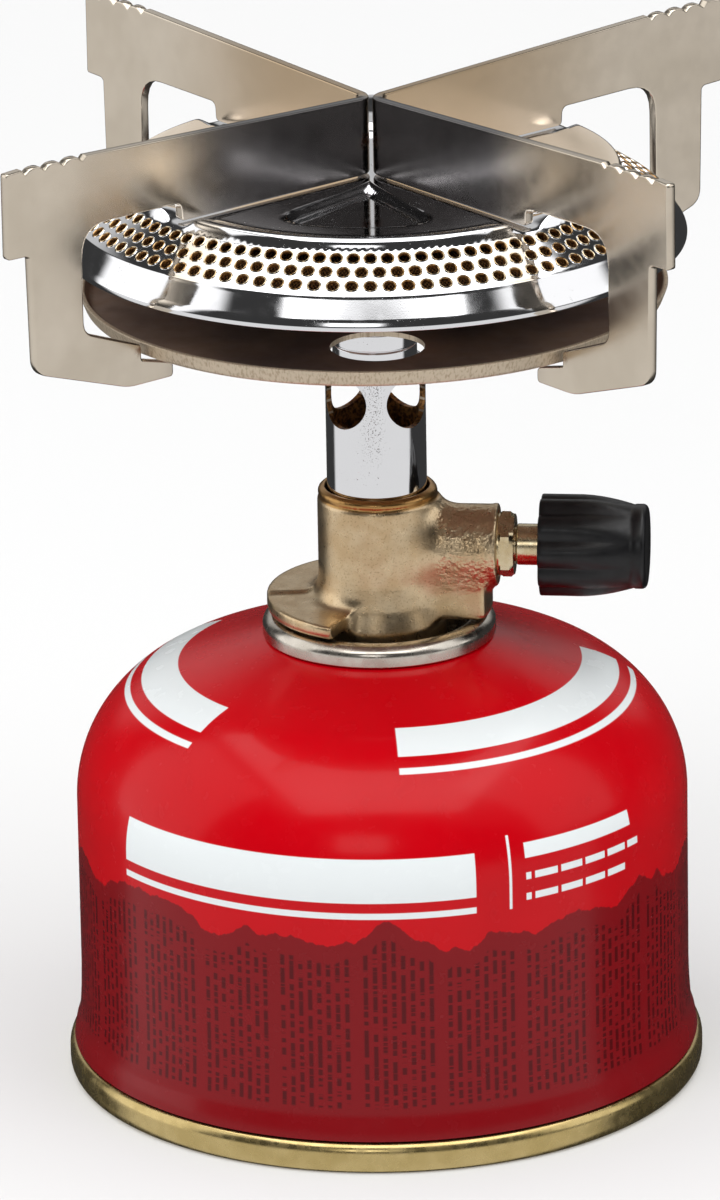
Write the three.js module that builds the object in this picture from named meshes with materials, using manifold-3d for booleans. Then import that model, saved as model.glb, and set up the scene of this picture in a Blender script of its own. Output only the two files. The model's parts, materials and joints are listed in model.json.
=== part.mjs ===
// Camping stove: a screw-on burner head standing on its gas canister.
// Units are millimetres, +Z is up and the canister stands on z = 0, centred on the Z axis.
// +X runs along the valve spindle, out through the control knob.
import * as THREE from 'three';
import { mergeVertices } from 'three/addons/utils/BufferGeometryUtils.js';
import Module from 'manifold-3d';

// ---- driving dimensions -------------------------------------------------------------

const GAP = 0.3;                 // clearance left between pieces that touch

// gas canister
const RIM_R = 45;                // seamed base rim, the widest part of a 90 mm canister
const RIM_TOP = 4.35;
const BODY_R = 43.1;
const SHEET = 0.6;               // wall of the pressed steel can
const SHOULDER_R = 20;           // radius that rolls the wall over into the dome
const SHOULDER_Z = 40.4;         // height where that roll begins
const DOME_SLOPE = 19;           // degrees, the cone above the roll
const MOUTH_R = 13.9;            // hole in the dome that the valve cup closes

// canister valve
const CUP_R = 16.4;              // outside of the cup's curled lip
const CUP_TOP = 67.1;
const CUP_FLOOR = 58.6;
const THREAD_R = 5.55;           // 7/16 inch valve thread
const THREAD_TOP = 68.1;
const STEM_TOP = 67;

// stove valve body
const BODY_TOP = 85.8;
const BARREL_R = 8.4;
const WING_Z = CUP_TOP + GAP;    // the wings rest on the cup's lip
const SPINDLE_Z = 77.2;          // height of the control spindle
const BOSS_R = 5.6;
const BOSS_END = 17;
const SOCKET_R = 7.3;
const SOCKET_FLOOR = 82.4;

// control spindle and knob, measured along +X
const NUT_START = BOSS_END + GAP;
const NUT_END = 19.3;
const NUT_FLATS = 8.4;
const KNOB_START = 22.9;
const KNOB_END = 37.9;
const KNOB_R = 7.15;
const KNOB_TIP_R = 5.95;
const KNOB_LOBES = 10;

// burner
const TUBE_R = 7;
const TUBE_WALL = 0.8;
const TUBE_TOP = 104.3;
const AIR_HOLE_R = 3.85;
const AIR_HOLE_Z = 99.4;
const NECK_R = 5.9;
const TRAY_R = 40.9;
const TRAY_RIM_TOP = 115.5;
const TRAY_FLOOR = 113.1;        // underside of the pan
const TRAY_SHEET = 0.7;
const TRAY_VENT_R = 6.5;
const TRAY_VENT_PCR = 24.2;      // radius of the circle the vents lie on
const PATTERN_TURN = 7;          // degrees the round stack sits turned from the pot supports
const CAP_TOP = 131;
const CAP_SHOULDER_R = 33.8;
const CAP_LIP_R = 43.6;

// pot supports: two plates, each bent at a right angle, back to back over the burner
const PLATE = 1.5;
const BEND_R = 3;                // outside radius of the bend
const BEND_GAP = 0.5;            // left between the two bends
const ARM_FOOT = CAP_TOP + GAP;
const ARM_HUB_TOP = 142.2;
const ARM_TIP_TOP = 144.1;
const ARM_REACH = 64.2;          // bend corner to arm tip
const TOOTH_PITCH = 3.2;
const TOOTH_START = 51.2;
const TOOTH_DEPTH = 0.7;

// ---- geometry helpers ---------------------------------------------------------------

const wasm = await Module();
wasm.setup();

const rad = THREE.MathUtils.degToRad;

// Points on an arc in a lathe profile, with angles in degrees from the outward direction.
function arc(centreR, centreZ, radius, from, to, steps) {
  const points = [];
  for (let i = 0; i <= steps; i += 1) {
    const angle = rad(from + (to - from) * i / steps);
    points.push([centreR + radius * Math.cos(angle), centreZ + radius * Math.sin(angle)]);
  }
  return points;
}

// Solid of revolution about Z from [radius, height] points, listed anticlockwise.
function turned(points, segments = 40) {
  const first = points[0];
  const onAxis = first[0] === 0;
  const outline = onAxis ? points : [...points, first];
  const profile = outline.map(([r, z]) => new THREE.Vector2(r, z));
  const geometry = new THREE.LatheGeometry(profile, segments);
  geometry.rotateX(Math.PI / 2);
  return geometry;
}

// Flat ring or washer about Z.
function ring(inner, outer, bottom, top, segments = 28) {
  return turned([[inner, bottom], [outer, bottom], [outer, top], [inner, top]], segments);
}

// Solid round bar about Z.
function bar(radius, bottom, top, segments = 28) {
  return turned([[0, bottom], [radius, bottom], [radius, top], [0, top]], segments);
}

// Turns a piece drawn along Z so that it lies along +X at the spindle's height.
function alongSpindle(geometry) {
  geometry.rotateY(Math.PI / 2);
  geometry.translate(0, 0, SPINDLE_Z);
  return geometry;
}

// Extrudes a closed shape drawn in X and Y upwards from one height to another.
function prism(shape, bottom, top, curveSegments = 8) {
  const depth = top - bottom;
  const geometry = new THREE.ExtrudeGeometry(shape, { depth, bevelEnabled: false, curveSegments });
  geometry.translate(0, 0, bottom);
  return geometry;
}

// Pie slice between two angles in degrees, or an arched strip if inner is not zero.
function sector(inner, outer, from, to) {
  const shape = new THREE.Shape();
  shape.absarc(0, 0, outer, rad(from), rad(to), false);
  if (inner > 0) {
    shape.absarc(0, 0, inner, rad(to), rad(from), true);
  } else {
    shape.lineTo(0, 0);
  }
  shape.closePath();
  return shape;
}

function solid(geometry) {
  const bare = geometry.clone();
  bare.deleteAttribute('normal');
  bare.deleteAttribute('uv');
  const merged = mergeVertices(bare, 1e-4);
  const mesh = new wasm.Mesh({
    numProp: 3,
    vertProperties: new Float32Array(merged.attributes.position.array),
    triVerts: new Uint32Array(merged.index.array),
  });
  return new wasm.Manifold(mesh);
}

function surface(body) {
  const mesh = body.getMesh();
  const geometry = new THREE.BufferGeometry();
  geometry.setAttribute('position', new THREE.BufferAttribute(mesh.vertProperties, 3));
  geometry.setIndex(new THREE.BufferAttribute(mesh.triVerts, 1));
  geometry.computeVertexNormals();
  return geometry;
}

// Joins the first list of geometries and cuts the second list out of the result.
function carve(joined, cuts) {
  let body = solid(joined[0]);
  for (const extra of joined.slice(1)) {
    body = body.add(solid(extra));
  }
  for (const cut of cuts) {
    body = body.subtract(solid(cut));
  }
  return surface(body);
}

function hexagon(acrossFlats) {
  const corner = acrossFlats / Math.sqrt(3);
  const shape = new THREE.Shape();
  for (let i = 0; i < 6; i += 1) {
    const angle = rad(60 * i);
    shape.lineTo(corner * Math.cos(angle), corner * Math.sin(angle));
  }
  shape.closePath();
  return shape;
}

// ---- materials ----------------------------------------------------------------------

const FINISHES = {
  red_paint: { color: 0xc8000f, roughness: 0.3, metalness: 0 },
  gold_lacquer: { color: 0xc4ad70, roughness: 0.35, metalness: 0.9 },
  satin_tin: { color: 0xb9b2a8, roughness: 0.4, metalness: 0.9 },
  white_plastic: { color: 0xe8e6dc, roughness: 0.5, metalness: 0 },
  rubber: { color: 0x1a1a1a, roughness: 0.8, metalness: 0 },
  spring_steel: { color: 0x9a9a98, roughness: 0.35, metalness: 1 },
  cast_brass: { color: 0xc3af8c, roughness: 0.45, metalness: 0.9 },
  bronze: { color: 0x9c7a4a, roughness: 0.7, metalness: 0.7 },
  brass: { color: 0xc9a75a, roughness: 0.3, metalness: 1 },
  black_plastic: { color: 0x26262b, roughness: 0.55, metalness: 0 },
  chrome: { color: 0xd8d8d8, roughness: 0.1, metalness: 1 },
  heat_brown: { color: 0x3a302b, roughness: 0.6, metalness: 0.4 },
  brown_gauze: { color: 0x6e4f2c, roughness: 0.6, metalness: 0.7 },
  stainless: { color: 0xc8beaf, roughness: 0.3, metalness: 1 },
};

const stove = new THREE.Group();
stove.name = 'camping_stove';

function place(name, geometry, finish) {
  const mesh = new THREE.Mesh(geometry, new THREE.MeshStandardMaterial(FINISHES[finish]));
  mesh.name = name;
  stove.add(mesh);
}

// ---- gas canister -------------------------------------------------------------------

// Cylindrical wall that flares to the base seam and rolls into a conical dome.
const rollCentre = BODY_R - SHOULDER_R;
const coneStart = rad(90 - DOME_SLOPE);
const coneR = rollCentre + SHOULDER_R * Math.cos(coneStart);
const coneZ = SHOULDER_Z + SHOULDER_R * Math.sin(coneStart);
const mouthZ = coneZ + (coneR - MOUTH_R) * Math.tan(rad(DOME_SLOPE));
const shellFoot = RIM_TOP + GAP;
place('canister_shell', turned([
  [RIM_R - 0.7, shellFoot],
  [BODY_R + 0.3, 8.6],
  [BODY_R, 14],
  ...arc(rollCentre, SHOULDER_Z, SHOULDER_R, 0, 90 - DOME_SLOPE, 7),
  [MOUTH_R, mouthZ],
  [MOUTH_R, mouthZ - SHEET],
  ...arc(rollCentre, SHOULDER_Z, SHOULDER_R - SHEET, 90 - DOME_SLOPE, 0, 4),
  [BODY_R - SHEET, 14],
  [BODY_R + 0.3 - SHEET, 8.6],
  [RIM_R - 0.7 - SHEET, shellFoot],
], 48), 'red_paint');

// Base pressed inwards into a shallow dome, with the rolled seam it stands on.
const domeR = 119.5;
const domeEdge = 20.3;
place('canister_base', turned([
  ...arc(0, 12 - domeR, domeR, 90, 90 - domeEdge, 4).map(([r, z]) => [Math.max(r, 0), z]),
  [41.8, 4],
  [41.8, 1],
  [42.6, 0],
  [RIM_R - 0.7, 0],
  [RIM_R, 0.7],
  [RIM_R, 3.6],
  [RIM_R - 0.6, RIM_TOP],
  [42.9, RIM_TOP],
  [42.2, 5.2],
  ...arc(0, 12 + SHEET - domeR, domeR, 90 - domeEdge, 90, 4).map(([r, z]) => [Math.max(r, 0), z]),
].map(([r, z]) => [r < 1e-6 ? 0 : r, z]), 48), 'gold_lacquer');

// Mounting cup: a dish with a curled lip that clamps the mouth of the dome.
const wallR = MOUTH_R - 0.4;
place('valve_cup', turned([
  [7.2, CUP_FLOOR],
  [12.9, CUP_FLOOR],
  [wallR, CUP_FLOOR + SHEET],
  [wallR, 65.15],
  [16.2, 64.3],
  [CUP_R, 64.7],
  [CUP_R, 65.8],
  [15.7, 66.8],
  [14.6, CUP_TOP],
  [13.4, 66.7],
  [wallR - SHEET, 65.9],
  [wallR - SHEET, 59.9],
  [12.3, CUP_FLOOR + SHEET],
  [7.2, CUP_FLOOR + SHEET],
], 36), 'satin_tin');

place('valve_thread_collar', turned([
  [4.2, CUP_FLOOR],
  [6.9, CUP_FLOOR],
  [6.9, CUP_FLOOR + SHEET],
  [THREAD_R, 59.5],
  [THREAD_R, THREAD_TOP - 0.5],
  [THREAD_R - 0.5, THREAD_TOP],
  [2.2, THREAD_TOP],
  [2.2, 66.7],
  [4.2, 66.7],
], 32), 'satin_tin');

place('valve_gasket', ring(1.85, 3.9, 65.1, 66.4, 24), 'rubber');

place('valve_housing', turned([
  [0.8, 50],
  [4.9, 50],
  [4.9, CUP_FLOOR - GAP],
  [3.9, CUP_FLOOR - GAP],
  [3.9, 64.6],
  [3.1, 64.6],
  [3.1, 51.2],
  [0.8, 51.2],
], 24), 'white_plastic');

// The stem that the stove's pin pushes down to open the canister.
place('valve_stem', turned([
  [0, 57.5],
  [1.2, 57.5],
  [1.2, 63.2],
  [2.8, 63.2],
  [2.8, 64.7],
  [1.5, 64.7],
  [1.5, STEM_TOP],
  [0, STEM_TOP],
], 20), 'white_plastic');

// Coil spring that lifts the stem.
const SPRING_COILS = 6;
const SPRING_R = 2.45;
const SPRING_WIRE_R = 0.3;
const SPRING_BOTTOM = 51.9;
const SPRING_TOP = 61.3;

class Helix extends THREE.Curve {
  getPoint(t, target = new THREE.Vector3()) {
    const angle = 2 * Math.PI * SPRING_COILS * t;
    const z = SPRING_BOTTOM + (SPRING_TOP - SPRING_BOTTOM) * t;
    return target.set(SPRING_R * Math.cos(angle), SPRING_R * Math.sin(angle), z);
  }
}

const wire = new THREE.Shape();
for (let i = 0; i < 6; i += 1) {
  const angle = rad(60 * i);
  wire.lineTo(SPRING_WIRE_R * Math.cos(angle), SPRING_WIRE_R * Math.sin(angle));
}
wire.closePath();
place('valve_spring', new THREE.ExtrudeGeometry(wire, {
  steps: SPRING_COILS * 12,
  extrudePath: new Helix(),
}), 'spring_steel');

// ---- valve body of the stove --------------------------------------------------------

// Upright barrel with a spindle boss to the right, a wide wing to the left and a
// webbed wing under the boss. The underside is bored for the canister thread.
const barrel = turned([
  [0, 63],
  [9, 63],
  [9.6, 63.8],
  [9.6, 66.6],
  [8.8, 69.5],
  [BARREL_R, 73],
  [BARREL_R, BODY_TOP - 1.8],
  [BARREL_R - 0.3, BODY_TOP - 1.3],
  [BARREL_R - 0.3, BODY_TOP - 0.4],
  [BARREL_R - 0.6, BODY_TOP],
  [0, BODY_TOP],
], 32);
const boss = alongSpindle(bar(BOSS_R, 0, BOSS_END, 28));
const leftWing = prism(sector(0, 15.7, 110, 250), WING_Z, WING_Z + 2.1, 14);
const rightWing = prism(sector(0, 16, -19, 19), WING_Z, WING_Z + 3.2, 8);

const webOutline = new THREE.Shape();
webOutline.moveTo(0, WING_Z + 1);
webOutline.lineTo(15.1, WING_Z + 1);
webOutline.lineTo(15.1, WING_Z + 6.5);
webOutline.lineTo(0, WING_Z + 6.5);
webOutline.closePath();
const web = prism(webOutline, -4.8, 4.8);
web.rotateX(Math.PI / 2);

const SEAT_X = 1;                // where the needle closes the gas passage
const threadBore = bar(THREAD_R + GAP, 60, 70.1, 32);
const filterBore = bar(2.4, 70, 73.2, 20);
const gasInlet = bar(0.8, 73, SPINDLE_Z, 12);
gasInlet.translate(SEAT_X + 0.8, 0, 0);
const gasOutlet = bar(0.7, SPINDLE_Z, 80, 12);
gasOutlet.translate(-0.5, 0, 0);
const seatHole = alongSpindle(bar(0.6, -0.5, SEAT_X + 0.1, 12));
const needleChamber = alongSpindle(bar(2, SEAT_X, 5.6, 20));
const spindleThread = alongSpindle(bar(2.7, 5.5, 10.4, 20));
const ringBore = alongSpindle(bar(3.7, 10.3, 13.5, 20));
const nutBore = alongSpindle(bar(4.7, 13.4, BOSS_END + 1, 20));
const jetBore = bar(2.4, 79.6, SOCKET_FLOOR + 0.1, 20);
const tubeSocket = bar(SOCKET_R, SOCKET_FLOOR, BODY_TOP + 1, 32);
place('valve_body', carve(
  [barrel, boss, leftWing, rightWing, web],
  [threadBore, filterBore, gasInlet, gasOutlet, seatHole, needleChamber,
    spindleThread, ringBore, nutBore, jetBore, tubeSocket],
), 'cast_brass');

place('socket_seal', ring(2.8, 5.5, THREAD_TOP + 0.35, 69.8, 28), 'rubber');

place('depressor_pin', turned([
  [0, STEM_TOP + GAP],
  [1, STEM_TOP + GAP],
  [1, 70.5],
  [2.1, 70.5],
  [2.1, 71.4],
  [0, 71.4],
], 20), 'brass');

place('gas_filter', bar(2.1, 71.7, 72.9, 20), 'bronze');

place('jet_nozzle', turned([
  [0.8, 79.9],
  [2.1, 79.9],
  [2.1, SOCKET_FLOOR + GAP],
  [2.9, SOCKET_FLOOR + GAP],
  [2.9, SOCKET_FLOOR + 2.4],
  [2.3, SOCKET_FLOOR + 3],
  [0.25, SOCKET_FLOOR + 3],
  [0.25, SOCKET_FLOOR + 2.2],
  [0.8, SOCKET_FLOOR + 1.6],
], 20), 'brass');

// ---- control spindle ----------------------------------------------------------------

const nutHead = prism(hexagon(NUT_FLATS), NUT_START, NUT_END);
const nutSpigot = bar(4.4, 13.6, NUT_START + 0.1, 24);
const nutHole = bar(2.75, 13, NUT_END + 1, 24);
place('gland_nut', alongSpindle(carve([nutHead, nutSpigot], [nutHole])), 'cast_brass');

// Needle, thread, seal groove and plain shank, in order from the seat outwards.
place('spindle', alongSpindle(turned([
  [0, SEAT_X + GAP],
  [1, 2.4],
  [1, 5.8],
  [2.4, 5.8],
  [2.4, 10.2],
  [1.8, 10.2],
  [1.8, 12.4],
  [2.4, 12.4],
  [2.4, NUT_END + GAP],
  [2.9, NUT_END + GAP],
  [2.9, KNOB_START + GAP],
  [2.3, KNOB_START + GAP],
  [2.3, 34.4],
  [0, 34.4],
], 20)), 'cast_brass');

place('spindle_seal', alongSpindle(turned(
  arc(2.75, 11.3, 0.65, 0, 315, 7),
  20,
)), 'rubber');

// Grip with shallow flutes that fade towards its rounded outer end.
const knobBody = turned([
  [0, KNOB_START],
  [KNOB_R, KNOB_START],
  [KNOB_R, 28.4],
  [6.9, 32.2],
  [6.3, 35.7],
  [KNOB_TIP_R, KNOB_END - 0.9],
  [KNOB_TIP_R - 0.9, KNOB_END],
  [0, KNOB_END],
], 40);
const flutes = [];
for (let i = 0; i < KNOB_LOBES; i += 1) {
  const flute = bar(1.2, KNOB_START - 1, 34.2, 12);
  const angle = rad(360 * i / KNOB_LOBES);
  flute.translate((KNOB_R + 0.75) * Math.cos(angle), (KNOB_R + 0.75) * Math.sin(angle), 0);
  flutes.push(flute);
}
const shankHole = bar(2.6, KNOB_START - 1, 34.7, 20);
const shankRecess = bar(3.2, KNOB_START - 1, KNOB_START + 0.6, 20);
place('control_knob', alongSpindle(carve([knobBody], [...flutes, shankHole, shankRecess])), 'black_plastic');

// ---- burner -------------------------------------------------------------------------

const airHoles = [];
for (let i = 0; i < 4; i += 1) {
  const hole = bar(AIR_HOLE_R, 0, TUBE_R + 3, 20);
  hole.rotateY(Math.PI / 2);
  hole.rotateZ(rad(45 + PATTERN_TURN + 90 * i));
  hole.translate(0, 0, AIR_HOLE_Z);
  airHoles.push(hole);
}
const tubeWall = turned([
  [TUBE_R - TUBE_WALL, SOCKET_FLOOR + GAP],
  [TUBE_R, SOCKET_FLOOR + GAP],
  [TUBE_R, TUBE_TOP - 0.5],
  [TUBE_R - 0.5, TUBE_TOP],
  [TUBE_R - TUBE_WALL, TUBE_TOP],
], 36);
place('burner_tube', carve([tubeWall], airHoles), 'chrome');

place('mixing_neck', turned([
  [4.9, TUBE_TOP - 1.2],
  [NECK_R, TUBE_TOP - 1.2],
  [NECK_R, TRAY_FLOOR - 1.7],
  [8.5, TRAY_FLOOR - 1.7],
  [8.5, TRAY_FLOOR - GAP],
  [NECK_R, TRAY_FLOOR - GAP],
  [NECK_R, 120],
  [4.9, 120],
], 28), 'chrome');

// Heat shield: a shallow vented pan with a flared rim.
const trayInside = TRAY_FLOOR + TRAY_SHEET;
const vents = [];
for (let i = 0; i < 4; i += 1) {
  const vent = bar(TRAY_VENT_R, TRAY_FLOOR - 1, trayInside + 1, 24);
  const angle = rad(PATTERN_TURN + 90 * i);
  vent.translate(TRAY_VENT_PCR * Math.cos(angle), TRAY_VENT_PCR * Math.sin(angle), 0);
  vents.push(vent);
}
const trayDisc = turned([
  [NECK_R + GAP, TRAY_FLOOR],
  [TRAY_R - 1, TRAY_FLOOR],
  [TRAY_R, TRAY_RIM_TOP],
  [TRAY_R - TRAY_SHEET, TRAY_RIM_TOP],
  [TRAY_R - 1.6, trayInside],
  [NECK_R + GAP, trayInside],
], 48);
place('heat_shield', carve([trayDisc], vents), 'heat_brown');

const bowlFloor = TRAY_RIM_TOP + GAP;
place('burner_bowl', turned([
  [NECK_R + GAP, bowlFloor],
  [14, bowlFloor],
  [42.3, 121.9],
  [42.3, 122.5],
  [14, bowlFloor + SHEET],
  [NECK_R + GAP, bowlFloor + SHEET],
], 48), 'chrome');

const nutBottom = bowlFloor + SHEET + GAP;
const neckNut = prism(hexagon(18), nutBottom, nutBottom + 2.6);
const neckNutHole = bar(NECK_R + GAP, nutBottom - 1, nutBottom + 4, 28);
place('burner_nut', carve([neckNut], [neckNutHole]), 'brass');

// Gauze collar behind the flame ports.
place('flame_gauze', turned([
  [40.1, 122.6],
  [40.6, 122.6],
  [40.6, 124.9],
  [33.8, 129.6],
  [30, 129.6],
  [30, 129.1],
  [33.6, 129.1],
  [40.1, 124.6],
], 48), 'brown_gauze');

// Burner cap: flat crown, sloping port band, a ridge and a rolled lip.
place('burner_cap', turned([
  [0, CAP_TOP - 0.7],
  [CAP_SHOULDER_R - 0.3, CAP_TOP - 0.7],
  [34.4, 130],
  [40.3, 126],
  [41, 125.5],
  [41.9, 124.1],
  [42.7, 122.8],
  [42.9, 122],
  [CAP_LIP_R - 0.1, 122],
  [CAP_LIP_R, 122.6],
  [43.2, 123.5],
  [42.3, 124.8],
  [41.6, 126.1],
  [40.9, 126.7],
  [34.9, 130.7],
  [CAP_SHOULDER_R, CAP_TOP],
  [0, CAP_TOP],
], 48), 'chrome');

// ---- pot supports -------------------------------------------------------------------

// Side outline of one arm: distance from the bend's corner against height.
const armShape = new THREE.Shape();
armShape.moveTo(-1, ARM_FOOT);
armShape.lineTo(33.8, ARM_FOOT);
armShape.quadraticCurveTo(34.5, ARM_FOOT, 34.6, 132);
armShape.lineTo(34.7, 133);
armShape.quadraticCurveTo(34.8, 133.9, 35.8, 133.9);
armShape.lineTo(47, 134.1);
armShape.quadraticCurveTo(51.7, 134.1, 51.7, 130);
armShape.lineTo(51.7, 120.4);
armShape.quadraticCurveTo(51.7, 119, 50.4, 118.6);
armShape.lineTo(42.1, 115.3);
armShape.lineTo(42, 113.1);
armShape.lineTo(37.1, 111.8);
armShape.quadraticCurveTo(36.6, 111.6, 36.6, 111.1);
armShape.lineTo(36.6, 110.2);
armShape.quadraticCurveTo(36.6, 109.6, 37.3, 109.6);
armShape.lineTo(44.2, 109.6);
armShape.lineTo(58.6, 114.4);
armShape.quadraticCurveTo(60.1, 114.9, 60.1, 116.4);
armShape.lineTo(60.5, 131.3);
armShape.lineTo(61, ARM_FOOT + 0.5);
armShape.lineTo(ARM_REACH - 0.4, ARM_FOOT + 0.5);
armShape.lineTo(ARM_REACH, ARM_FOOT + 0.9);
armShape.lineTo(ARM_REACH, ARM_TIP_TOP - 0.5);
armShape.lineTo(ARM_REACH - 0.5, ARM_TIP_TOP);
const valleyTop = ARM_TIP_TOP - TOOTH_DEPTH;
armShape.lineTo(TOOTH_START + TOOTH_PITCH * 3 + 0.6, ARM_TIP_TOP);
armShape.lineTo(TOOTH_START + TOOTH_PITCH * 3, valleyTop);
for (let i = 2; i >= 0; i -= 1) {
  const valley = TOOTH_START + TOOTH_PITCH * i;
  const crest = valley + TOOTH_PITCH / 2;
  armShape.quadraticCurveTo(crest, ARM_TIP_TOP + TOOTH_DEPTH, valley, valleyTop);
}
armShape.lineTo(TOOTH_START - 0.7, ARM_TIP_TOP - 0.1);
armShape.lineTo(-1, ARM_HUB_TOP);
armShape.closePath();

// Plan of the bent plate: a right angle opening towards -X, with a rounded corner.
const cornerX = -BEND_GAP / 2 + BEND_R * (Math.SQRT2 - 1);
const bendX = -BEND_GAP / 2 - BEND_R;
const plan = new THREE.Shape();
plan.absarc(bendX, 0, BEND_R, rad(-45), rad(45), false);
const reachIn = ARM_REACH + 5;
const along = Math.SQRT1_2;
plan.lineTo(cornerX - reachIn * along, reachIn * along);
plan.lineTo(cornerX - (reachIn + PLATE) * along, (reachIn - PLATE) * along);
plan.absarc(bendX, 0, BEND_R - PLATE, rad(45), rad(-45), true);
plan.lineTo(cornerX - (reachIn + PLATE) * along, -(reachIn - PLATE) * along);
plan.lineTo(cornerX - reachIn * along, -reachIn * along);
plan.closePath();
const bentPlate = prism(plan, ARM_FOOT - 40, ARM_TIP_TOP + 5, 6);

// Thick block with the arm's side outline, pointing along the given angle.
function armBlock(degrees) {
  const geometry = new THREE.ExtrudeGeometry(armShape, {
    depth: 8,
    bevelEnabled: false,
    curveSegments: 4,
  });
  geometry.translate(0, 0, -4);
  geometry.rotateX(Math.PI / 2);
  geometry.rotateZ(rad(degrees));
  geometry.translate(cornerX, 0, 0);
  return geometry;
}

const outlines = solid(armBlock(225)).add(solid(armBlock(135)));
const support = surface(solid(bentPlate).intersect(outlines));
place('pot_support_left', support, 'stainless');
place('pot_support_right', support.clone().rotateZ(Math.PI), 'stainless');

export default stove;
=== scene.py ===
"""Camping stove screwed on its gas canister: fine meshes, finishes and studio around the CAD frame.

Outlines and sizes are in millimetres in the row frame; meshes are scaled to metres when they are made.
"""

import json
import math

import bmesh
import bpy
import numpy as np
from mathutils import Matrix, Vector


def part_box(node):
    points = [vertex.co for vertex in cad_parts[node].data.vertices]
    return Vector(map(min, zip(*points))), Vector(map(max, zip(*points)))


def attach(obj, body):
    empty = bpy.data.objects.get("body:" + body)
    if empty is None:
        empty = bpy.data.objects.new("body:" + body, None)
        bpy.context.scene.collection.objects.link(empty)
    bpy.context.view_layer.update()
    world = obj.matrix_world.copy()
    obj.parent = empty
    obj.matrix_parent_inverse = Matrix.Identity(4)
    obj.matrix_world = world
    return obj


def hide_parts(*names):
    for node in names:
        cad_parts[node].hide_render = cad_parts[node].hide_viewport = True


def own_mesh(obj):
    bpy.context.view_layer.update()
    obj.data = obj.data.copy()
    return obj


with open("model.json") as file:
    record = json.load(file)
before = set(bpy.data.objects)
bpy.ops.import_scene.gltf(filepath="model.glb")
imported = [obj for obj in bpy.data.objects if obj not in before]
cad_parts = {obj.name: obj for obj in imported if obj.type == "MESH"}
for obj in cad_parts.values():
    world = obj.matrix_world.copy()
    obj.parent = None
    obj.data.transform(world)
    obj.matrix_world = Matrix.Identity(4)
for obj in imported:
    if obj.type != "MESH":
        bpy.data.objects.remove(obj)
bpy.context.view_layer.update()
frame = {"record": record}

MM = 0.001
BODY_OF = {node: body for body, nodes in frame["record"]["behaviour"]["bodies"].items() for node in nodes}


def low(node):
    """Lowest corner of a CAD node, in millimetres."""
    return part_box(node)[0] / MM


def high(node):
    """Highest corner of a CAD node, in millimetres."""
    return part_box(node)[1] / MM


# ---- driving dimensions, read from the frame ----------------------------------------

GAP = 0.3
SHEET = 0.6

RIM_R = high("canister_base").x
RIM_TOP = low("canister_shell").z - GAP
BODY_R = 43.1
SHOULDER_R = 20
SHOULDER_Z = 40.4
DOME_SLOPE = 19

CUP_R = high("valve_cup").x
CUP_TOP = high("valve_cup").z
CUP_FLOOR = low("valve_cup").z
THREAD_R = 5.55
THREAD_TOP = high("valve_thread_collar").z
THREAD_PITCH = 25.4 / 28
STEM_TOP = high("valve_stem").z

BODY_TOP = high("valve_body").z
WING_Z = CUP_TOP + GAP
BOSS_R = 5.6
BOSS_END = low("gland_nut").x + 3.4
NUT_START = 17.3
NUT_END = high("gland_nut").x
NUT_FLATS = 8.4
SPINDLE_Z = (low("control_knob").z + high("control_knob").z) / 2
KNOB_START = low("control_knob").x
KNOB_END = high("control_knob").x
KNOB_R = 7.15
KNOB_TIP_R = 5.95
KNOB_LOBES = 10

TUBE_R = high("burner_tube").x
TUBE_FOOT = low("burner_tube").z
SOCKET_FLOOR = TUBE_FOOT - GAP
TUBE_TOP = high("burner_tube").z
TUBE_WALL = 0.8
AIR_HOLE_R = 3.85
AIR_HOLE_Z = 99.4
PATTERN_TURN = 7
NECK_R = 5.9
NECK_FOOT = low("mixing_neck").z
NECK_TOP = high("mixing_neck").z
TRAY_R = high("heat_shield").x
TRAY_FLOOR = low("heat_shield").z
TRAY_RIM_TOP = high("heat_shield").z
TRAY_SHEET = 0.7
VENT_R = 6.5
VENT_CIRCLE_R = 24.2
BOWL_FLOOR = low("burner_bowl").z
CAP_TOP = high("burner_cap").z
CAP_LIP_R = high("burner_cap").x
CAP_LIP_Z = low("burner_cap").z

PLATE = 1.5
BEND_R = 3
BEND_GAP = 0.5
ARM_FOOT = CAP_TOP + GAP
ARM_HUB_TOP = 142.2
ARM_TIP_TOP = high("pot_support_left").z
ARM_REACH = 64.2


# ---- mesh helpers -------------------------------------------------------------------

def arc(centre_r, centre_z, radius, start, end, steps):
    """Points of an outline on an arc, with angles in degrees from the outward direction."""
    angles = np.radians(np.linspace(start, end, steps + 1))
    return [(centre_r + radius * math.cos(a), centre_z + radius * math.sin(a)) for a in angles]


def eased(outline, default=0.25, steps=4):
    """Closed outline with rounded corners. A point is (r, z) or (r, z, rounding)."""
    result = []
    for i, point in enumerate(outline):
        here = np.array(point[:2], float)
        rounding = point[2] if len(point) > 2 else default
        if rounding == 0 or here[0] == 0:
            result.append(tuple(here))
            continue
        before = np.array(outline[i - 1][:2], float) - here
        after = np.array(outline[(i + 1) % len(outline)][:2], float) - here
        reach = min(rounding, 0.48 * np.linalg.norm(before), 0.48 * np.linalg.norm(after))
        start = here + before / np.linalg.norm(before) * reach
        end = here + after / np.linalg.norm(after) * reach
        for t in np.linspace(0, 1, steps + 1):
            result.append(tuple((1 - t) ** 2 * start + 2 * t * (1 - t) * here + t * t * end))
    return result


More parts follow.
